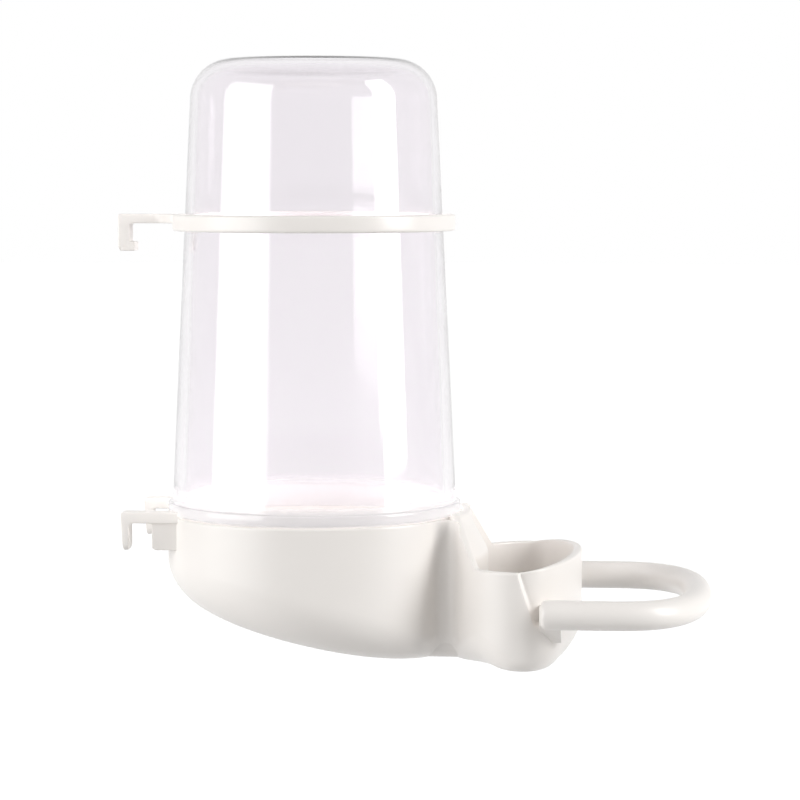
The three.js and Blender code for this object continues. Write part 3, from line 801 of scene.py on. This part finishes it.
def reservoir_shell(wall, steps=192, wall_steps=24, crown_steps=17, round_steps=5):
    """The clear cup's section turned about its axis.

    The section goes from the crown's middle down the outside to the flange and plug, and up the inside.
    """
    centre = (RESERVOIR_SHOULDER_RADIUS - CROWN_CORNER, SHOULDER_LEVEL)
    plug = BOWL_RADIUS - BASE_WALL - CLEARANCE
    inside = min(plug - PLUG_WALL, reservoir_radius(FLANGE_THICKNESS) - wall)
    levels = np.linspace(SHOULDER_LEVEL, FLANGE_THICKNESS, wall_steps)[1:-1]
    outer_wall = np.stack([reservoir_radius(levels), levels], axis=-1)
    inner_ends = ([FLANGE_THICKNESS, SHOULDER_LEVEL], [inside, RESERVOIR_SHOULDER_RADIUS - wall])
    inner_wall = np.stack([np.interp(levels, *inner_ends), levels], axis=-1)[::-1]
    foot = reservoir_radius(FLANGE_THICKNESS)
    round_off = FLANGE_ROUND
    profile = np.vstack([
        [[centre[0] * share, RESERVOIR_TOP] for share in CROWN_RINGS],
        arc(centre, CROWN_CORNER, 90, 0, crown_steps),
        outer_wall,
        arc((foot + round_off, FLANGE_THICKNESS + round_off), round_off, 180, 270, round_steps),
        arc((BOWL_RADIUS - round_off, FLANGE_THICKNESS - round_off), round_off, 90, 0, round_steps),
        arc((BOWL_RADIUS - round_off, round_off), round_off, 0, -90, round_steps),
        [[plug, 0]],
        arc((plug - round_off, -PLUG_DEPTH + round_off), round_off, 0, -90, round_steps),
        arc((plug - PLUG_WALL + round_off, -PLUG_DEPTH + round_off), round_off, 270, 180, round_steps),
        [[inside, FLANGE_THICKNESS]],
        inner_wall,
        arc(centre, CROWN_CORNER - wall, 0, 90, crown_steps),
        [[centre[0] * share, RESERVOIR_TOP - wall] for share in reversed(CROWN_RINGS)],
    ])
    poles = [np.array([0, 0, RESERVOIR_TOP]), np.array([0, 0, RESERVOIR_TOP - wall])]
    return poled_grid(turned(profile[::-1], steps), poles[1], poles[0])


def ring_band(steps=192, corner_steps=7):
    """The retaining ring's band: a four-sided section with rounded corners turned about the axis."""
    lower = reservoir_radius(RING_LEVEL) + CLEARANCE
    upper = reservoir_radius(RING_TOP) + CLEARANCE
    section = rounded([[lower, RING_LEVEL], [RING_OUTSIDE, RING_LEVEL], [RING_OUTSIDE, RING_TOP],
                       [upper, RING_TOP]], RING_ROUND, corner_steps)
    return looped_grid(turned(section, steps))


def strap_and_hook(steps=90):
    """A bar that leaves the band wide, narrows along the strap and turns down into the hook's post."""
    post_inner = STRAP_END + UPPER_POST
    under = RING_TOP - STRAP_HEIGHT
    tip = under - UPPER_DROP
    outer = np.vstack([
        [[STRAP_ROOT, RING_TOP]],
        arc((STRAP_END + HOOK_CORNER, RING_TOP - HOOK_CORNER), HOOK_CORNER, 90, 180),
        [[STRAP_END, tip]],
    ])
    inner = np.vstack([
        [[STRAP_ROOT, under]],
        arc((post_inner + HOOK_CORNER, under - HOOK_CORNER), HOOK_CORNER, 90, 180),
        [[post_inner, tip]],
    ])
    outer, inner = resampled(outer, steps), resampled(inner, steps)
    flare = smooth_step(outer[:, 0], STRAP_FLARE_END, STRAP_ROOT) ** STRAP_FLARE_CURVE
    half_width = STRAP_HALF_WIDTH + (STRAP_ROOT_HALF_WIDTH - STRAP_HALF_WIDTH) * flare
    return bent_bar(outer, inner, half_width)


def upper_foot():
    """The small foot that turns in at the post's tip."""
    tip = RING_TOP - STRAP_HEIGHT - UPPER_DROP
    half = STRAP_HALF_WIDTH - SINK
    start, end = STRAP_END + UPPER_FOOT_SETBACK, STRAP_END + UPPER_POST + UPPER_FOOT
    top = tip + UPPER_FOOT_HEIGHT
    return prism(np.array([[start, tip], [end, tip], [end, top], [start, top]]), -half, half, 1)


def perch_bar(sides=48, steps=180, arm_steps=14, end_steps=6):
    """A round section carried along two straight arms and a half oval, with rounded ends.

    The oval's x and y are the sine and cosine of a half turn, each raised to 2 over the fullness.
    """
    reach = PERCH_FRONT - PERCH_END - PERCH_ARM
    turn = np.linspace(0, np.pi, steps)
    power = 2 / PERCH_FULLNESS
    ahead = np.abs(np.sin(turn)) ** power
    across = -np.sign(np.cos(turn)) * np.abs(np.cos(turn)) ** power
    arm = np.linspace(0, PERCH_ARM, arm_steps)[:-1]
    path = np.vstack([
        np.stack([PERCH_END + arm, np.full_like(arm, -PERCH_HALF_SPAN)], axis=-1),
        np.stack([PERCH_END + PERCH_ARM + reach * ahead, PERCH_HALF_SPAN * across], axis=-1),
        np.stack([PERCH_END + arm[::-1], np.full_like(arm, PERCH_HALF_SPAN)], axis=-1),
    ])
    along = np.gradient(path, axis=0)
    along /= np.linalg.norm(along, axis=1, keepdims=True)
    outward = np.stack([along[:, 1], -along[:, 0]], axis=-1)
    size = np.full(len(path), PERCH_RADIUS)
    end_turn = np.linspace(0, np.pi / 2, end_steps)[:-1]
    end_size = PERCH_RADIUS - PERCH_END_ROUND * (1 - np.sin(end_turn))
    end_step = PERCH_END_ROUND * (1 - np.cos(end_turn))
    first, last = path[0], path[-1]
    first_end = np.stack([first[0] + end_step, np.full_like(end_step, first[1])], axis=-1)
    last_end = np.stack([last[0] + end_step[::-1], np.full_like(end_step, last[1])], axis=-1)
    # The rounded ends take the place of the path's first two and last two points
    keep = slice(2, -2)
    path = np.vstack([first_end, path[keep], last_end])
    ends = [np.repeat(outward[:1], len(first_end), 0), np.repeat(outward[-1:], len(last_end), 0)]
    outward = np.vstack([ends[0], outward[keep], ends[1]])
    size = np.concatenate([end_size, size[keep], end_size[::-1]])
    ring = np.linspace(0, 2 * np.pi, sides, endpoint=False)
    side = size[:, None] * np.cos(ring)
    grid = np.stack([
        path[:, 0][:, None] + outward[:, 0][:, None] * side,
        path[:, 1][:, None] + outward[:, 1][:, None] * side,
        PERCH_LEVEL + size[:, None] * np.sin(ring),
    ], axis=-1)
    poles = [np.array([*path[0], PERCH_LEVEL]), np.array([*path[-1], PERCH_LEVEL])]
    return poled_grid(grid, *poles)


def perch_grooves():
    """The space to take out of each arm for its key, open at the arm's end and inner side."""
    inner_side = PERCH_HALF_SPAN - PERCH_RADIUS
    half = KEY_HEIGHT / 2 + CLEARANCE
    return mirrored(block(
        (PERCH_END - GROOVE_PAST_ARM, inner_side - GROOVE_PAST_ARM, PERCH_LEVEL - half),
        (PERCH_END + KEY_LENGTH + 2 * CLEARANCE, inner_side + KEY_DEPTH, PERCH_LEVEL + half),
    ))


# Finishes


def new_material(name):
    """A material with an empty node tree, its shader and its output."""
    material = bpy.data.materials.new(name)
    material.use_nodes = True
    tree = material.node_tree
    tree.nodes.clear()
    shader = tree.nodes.new("ShaderNodeBsdfPrincipled")
    output = tree.nodes.new("ShaderNodeOutputMaterial")
    tree.links.new(shader.outputs["BSDF"], output.inputs["Surface"])
    return material, tree, shader


def noise(tree, scale, detail=3.0):
    """Noise on Object coordinates."""
    place = tree.nodes.new("ShaderNodeTexCoord")
    texture = tree.nodes.new("ShaderNodeTexNoise")
    texture.inputs["Scale"].default_value = scale
    texture.inputs["Detail"].default_value = detail
    tree.links.new(place.outputs["Object"], texture.inputs["Vector"])
    return texture.outputs["Fac"]


def spread(tree, factor, low, high, first=0.3, last=0.7, steps="LINEAR"):
    """Maps a factor between two values onto a range."""
    node = tree.nodes.new("ShaderNodeMapRange")
    node.interpolation_type = steps
    for port, value in (("From Min", first), ("From Max", last), ("To Min", low), ("To Max", high)):
        node.inputs[port].default_value = value
    tree.links.new(factor, node.inputs["Value"])
    return node.outputs["Result"]


def tinted(tree, factor, first, second):
    """Mixes two colours by a factor. The second may be another node's colour."""
    node = tree.nodes.new("ShaderNodeMix")
    node.data_type = "RGBA"
    ports = {port.name: port for port in node.inputs if port.type == "RGBA"}
    ports["A"].default_value = first
    if isinstance(second, bpy.types.NodeSocket):
        tree.links.new(second, ports["B"])
    else:
        ports["B"].default_value = second
    tree.links.new(factor, node.inputs["Factor"])
    return [port for port in node.outputs if port.type == "RGBA"][0]


def height_share(tree, low, high):
    """0 below one height and 1 above another, on Object coordinates."""
    place = tree.nodes.new("ShaderNodeTexCoord")
    parts = tree.nodes.new("ShaderNodeSeparateXYZ")
    tree.links.new(place.outputs["Object"], parts.inputs["Vector"])
    return spread(tree, parts.outputs["Z"], 0.0, 1.0, first=low, last=high, steps="SMOOTHSTEP")


def bump(tree, shader, height, strength, distance):
    """Gives a shader a fine relief from a height."""
    node = tree.nodes.new("ShaderNodeBump")
    node.inputs["Strength"].default_value = strength
    node.inputs["Distance"].default_value = distance
    tree.links.new(height, node.inputs["Height"])
    tree.links.new(node.outputs["Normal"], shader.inputs["Normal"])


def white_plastic(finish):
    """Warm white moulding: slow cloudiness in colour, uneven gloss and faint flow waves."""
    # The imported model's flat materials already have the slots' names
    found = bpy.data.materials.get("moulded_white")
    if found:
        return found
    material, tree, shader = new_material("moulded_white")
    white = np.array(finish.white)
    deeper = white * (0.965, 0.96, 0.95, 1.0)
    cloud = noise(tree, scale=55.0)
    tree.links.new(tinted(tree, cloud, tuple(white), tuple(deeper)), shader.inputs["Base Color"])
    # Below about 0.28 the denoiser takes the plastic for a mirror, which leaves patches
    rough = finish.white_roughness
    gloss = spread(tree, noise(tree, scale=140.0), low=rough - 0.02, high=rough + 0.05)
    tree.links.new(gloss, shader.inputs["Roughness"])
    bump(tree, shader, noise(tree, scale=120.0, detail=1.0), strength=0.05, distance=0.2 * MM)
    shader.inputs["IOR"].default_value = 1.57
    return material


def clear_plastic(finish):
    """Clear moulding with a faint tint, uneven polish and slow flow waves, milky at flange and plug."""
    material, tree, shader = new_material("moulded_clear")
    clear = np.array(finish.clear)
    deeper = clear * (0.985, 0.98, 0.985, 1.0)
    tint = tinted(tree, noise(tree, scale=30.0), tuple(clear), tuple(deeper))
    height = height_share(tree, MILKY_UP_TO, CLEAR_FROM)
    tree.links.new(tinted(tree, height, finish.milky, tint), shader.inputs["Base Color"])
    see_through = spread(tree, height, low=0.35, high=1.0, first=0.0, last=1.0)
    tree.links.new(see_through, shader.inputs["Transmission Weight"])
    polish = spread(tree, noise(tree, scale=90.0), low=0.03, high=0.07)
    tree.links.new(polish, shader.inputs["Roughness"])
    bump(tree, shader, noise(tree, scale=70.0, detail=1.0), strength=0.05, distance=0.2 * MM)
    shader.inputs["IOR"].default_value = 1.5
    return material


# Operators


class DRINKER_OT_base(bpy.types.Operator):
    """Builds the base: shell, partition, lower hooks and perch brackets"""

    bl_idname = "drinker.base"
    bl_label = "Base"

    def execute(self, context):
        sizes, finish = context.scene.drinker_sizes, context.scene.drinker_finish
        white = white_plastic(finish)
        common = (SEAT, "base", "base", "white_plastic", white)
        make_piece("base_bowl", bowl_shell(sizes.rim_round), *common, space=passage())
        make_piece("base_cup", cup_shell(sizes.rim_round), *common, space=passage())
        make_piece("base_partition", partition(), *common)
        make_piece("base_neck", neck(), *common)
        make_piece("base_valley", valley(VALLEY_RADIUS), *common)
        round_edges(make_piece("base_hooks", hooks(), *common), sizes.edge_round)
        round_edges(make_piece("base_brackets", brackets(), *common), BRACKET_ROUND)
        round_edges(make_piece("base_keys", keys(), *common), BRACKET_ROUND)
        return {"FINISHED"}


class DRINKER_OT_reservoir(bpy.types.Operator):
    """Builds the clear reservoir with its flange and plug"""

    bl_idname = "drinker.reservoir"
    bl_label = "Reservoir"

    def execute(self, context):
        sizes, finish = context.scene.drinker_sizes, context.scene.drinker_finish
        part = reservoir_shell(sizes.reservoir_wall)
        clear = make_piece("reservoir_shell", part, FLANGE_LEVEL, "reservoir", "reservoir", "clear_plastic",
                           clear_plastic(finish))
        clear.visible_shadow = False
        return {"FINISHED"}


class DRINKER_OT_retaining_ring(bpy.types.Operator):
    """Builds the retaining ring with its strap and hook"""

    bl_idname = "drinker.retaining_ring"
    bl_label = "Retaining ring"

    def execute(self, context):
        sizes, finish = context.scene.drinker_sizes, context.scene.drinker_finish
        common = (FLANGE_LEVEL, "retaining_ring", "retaining_ring", "white_plastic", white_plastic(finish))
        make_piece("ring_band", ring_band(), *common)
        make_piece("ring_strap", strap_and_hook(), *common)
        round_edges(make_piece("ring_foot", upper_foot(), *common), sizes.edge_round)
        return {"FINISHED"}


class DRINKER_OT_perch(bpy.types.Operator):
    """Builds the half-round perch with a groove in each arm"""

    bl_idname = "drinker.perch"
    bl_label = "Perch"

    def execute(self, context):
        finish = context.scene.drinker_finish
        common = (SEAT, "perch", "perch_ring", "white_plastic", white_plastic(finish))
        make_piece("perch_bar", perch_bar(), *common, space=perch_grooves())
        return {"FINISHED"}


class DRINKER_OT_stage(bpy.types.Operator):
    """Sets up the floor, the world, the softboxes and the camera"""

    bl_idname = "drinker.stage"
    bl_label = "Stage"

    def execute(self, context):
        make_camera()
        make_floor()
        make_world()
        make_lights()
        context.scene.view_settings.view_transform = "Standard"
        return {"FINISHED"}


# Stage


def make_camera():
    """Places the camera at the photograph's viewing angle."""
    sin_a, cos_a = np.sin(CAMERA_AZIMUTH), np.cos(CAMERA_AZIMUTH)
    sin_t, cos_t = np.sin(CAMERA_TILT), np.cos(CAMERA_TILT)
    right = Vector((cos_a, -sin_a, 0))
    ahead = Vector((sin_a * cos_t, cos_a * cos_t, -sin_t))
    up = right.cross(ahead)
    middle = Vector((AXIS_X, 0, FLANGE_LEVEL + FLANGE_THICKNESS / 2))
    data = bpy.data.cameras.new("camera")
    data.lens = CAMERA_LENS_MM
    data.sensor_width = CAMERA_SENSOR_MM
    data.clip_start = CAMERA_NEAR
    data.clip_end = CAMERA_FAR
    camera = bpy.data.objects.new("camera", data)
    turn = Matrix((right, up, -ahead)).transposed().to_4x4()
    eye = middle - ahead * CAMERA_DISTANCE + right * CAMERA_RIGHT + up * CAMERA_UP
    camera.matrix_world = Matrix.Translation(eye) @ turn
    bpy.context.scene.collection.objects.link(camera)
    bpy.context.scene.camera = camera


def seen_directly(tree):
    """1 for camera, glossy and transmission rays, and 0 for the rest."""
    path = tree.nodes.new("ShaderNodeLightPath")
    seen = path.outputs["Is Camera Ray"]
    for ray in ("Is Glossy Ray", "Is Transmission Ray"):
        either = tree.nodes.new("ShaderNodeMath")
        either.operation = "MAXIMUM"
        tree.links.new(seen, either.inputs[0])
        tree.links.new(path.outputs[ray], either.inputs[1])
        seen = either.outputs["Value"]
    return seen


def far_share(tree, near, far):
    """Goes from one value below the drinker to another half a metre away."""
    place = tree.nodes.new("ShaderNodeTexCoord")
    middle = tree.nodes.new("ShaderNodeVectorMath")
    middle.operation = "DISTANCE"
    middle.inputs[1].default_value = (AXIS_X, 0.0, CAD_BOX[0].z - FLOOR_DROP)
    tree.links.new(place.outputs["Object"], middle.inputs[0])
    return spread(tree, middle.outputs["Value"], near, far, first=0.1, last=0.5, steps="SMOOTHSTEP")


def make_floor():
    """A wide pale floor below the hanging drinker, white to the eye, that keeps the drinker's shadow."""
    half = FLOOR_HALF_WIDTH
    level = CAD_BOX[0].z - FLOOR_DROP
    mesh = bpy.data.meshes.new("floor")
    corners = [(-half, -half, level), (half, -half, level), (half, half, level), (-half, half, level)]
    mesh.from_pydata(corners, [], [(0, 1, 2, 3)])
    material, tree, shader = new_material("floor")
    shader.inputs["Base Color"].default_value = (0.6, 0.6, 0.6, 1.0)
    shader.inputs["Roughness"].default_value = 0.9
    shader.inputs["Emission Color"].default_value = (1.0, 1.0, 1.0, 1.0)
    lift = tree.nodes.new("ShaderNodeMath")
    lift.operation = "MULTIPLY"
    tree.links.new(seen_directly(tree), lift.inputs[0])
    tree.links.new(far_share(tree, FLOOR_GLOW_NEAR, FLOOR_GLOW_FAR), lift.inputs[1])
    tree.links.new(lift.outputs["Value"], shader.inputs["Emission Strength"])
    mesh.materials.append(material)
    floor = bpy.data.objects.new("floor", mesh)
    bpy.context.scene.collection.objects.link(floor)


def make_world():
    """A white studio to the eye, and a softer fill of light for the object."""
    world = bpy.data.worlds.new("studio")
    bpy.context.scene.world = world
    world.use_nodes = True
    tree = world.node_tree
    background = tree.nodes["Background"]
    background.inputs["Color"].default_value = (1.0, 1.0, 1.0, 1.0)
    strength = spread(tree, seen_directly(tree), WORLD_FILL, 1.0, first=0.0, last=1.0)
    tree.links.new(strength, background.inputs["Strength"])


def softbox(name, azimuth, distance, width, height, level, power):
    """An upright rectangular light that faces the reservoir, placed by its angle from the camera."""
    data = bpy.data.lights.new(name, "AREA")
    data.shape = "RECTANGLE"
    data.size = width
    data.size_y = height
    data.energy = power
    turn = CAMERA_AZIMUTH + np.radians(azimuth)
    towards = Vector((-np.sin(turn), -np.cos(turn), 0))
    light = bpy.data.objects.new(name, data)
    light.location = Vector((AXIS_X, 0, level)) + towards * distance
    light.rotation_mode = "QUATERNION"
    light.rotation_quaternion = (-towards).to_track_quat("-Z", "Y")
    bpy.context.scene.collection.objects.link(light)


def make_lights():
    """A tall softbox to the left and one to the right of the camera."""
    softbox("left_softbox", azimuth=63, distance=0.6, width=0.56, height=0.6, level=0.2, power=3.9)
    softbox("right_softbox", azimuth=-70, distance=0.6, width=0.24, height=0.6, level=0.3, power=3.8)


# Panel and registration


class DRINKER_PT_panel(bpy.types.Panel):
    """Lists the drinker's sizes, finishes and pieces"""

    bl_idname = "DRINKER_PT_panel"
    bl_label = "Siphon bird drinker"
    bl_space_type = "VIEW_3D"
    bl_region_type = "UI"
    bl_category = "Drinker"

    def draw(self, context):
        for group in (context.scene.drinker_sizes, context.scene.drinker_finish):
            for name in group.__annotations__:
                self.layout.prop(group, name)
        for operator in OPERATORS:
            self.layout.operator(operator.bl_idname)


OPERATORS = (
    DRINKER_OT_base,
    DRINKER_OT_reservoir,
    DRINKER_OT_retaining_ring,
    DRINKER_OT_perch,
    DRINKER_OT_stage,
)
CLASSES = (DrinkerSizes, DrinkerFinish, *OPERATORS, DRINKER_PT_panel)


def register():
    """Adds the classes and the scene's settings to Blender."""
    for cls in CLASSES:
        bpy.utils.register_class(cls)
    bpy.types.Scene.drinker_sizes = bpy.props.PointerProperty(type=DrinkerSizes)
    bpy.types.Scene.drinker_finish = bpy.props.PointerProperty(type=DrinkerFinish)


def unregister():
    """Takes the settings and classes out of Blender again."""
    del bpy.types.Scene.drinker_finish
    del bpy.types.Scene.drinker_sizes
    for cls in reversed(CLASSES):
        bpy.utils.unregister_class(cls)


def main():
    """Builds every piece and the stage."""
    register()
    bpy.ops.drinker.base()
    bpy.ops.drinker.reservoir()
    bpy.ops.drinker.retaining_ring()
    bpy.ops.drinker.perch()
    bpy.ops.drinker.stage()


if __name__ == "__main__":
    main()
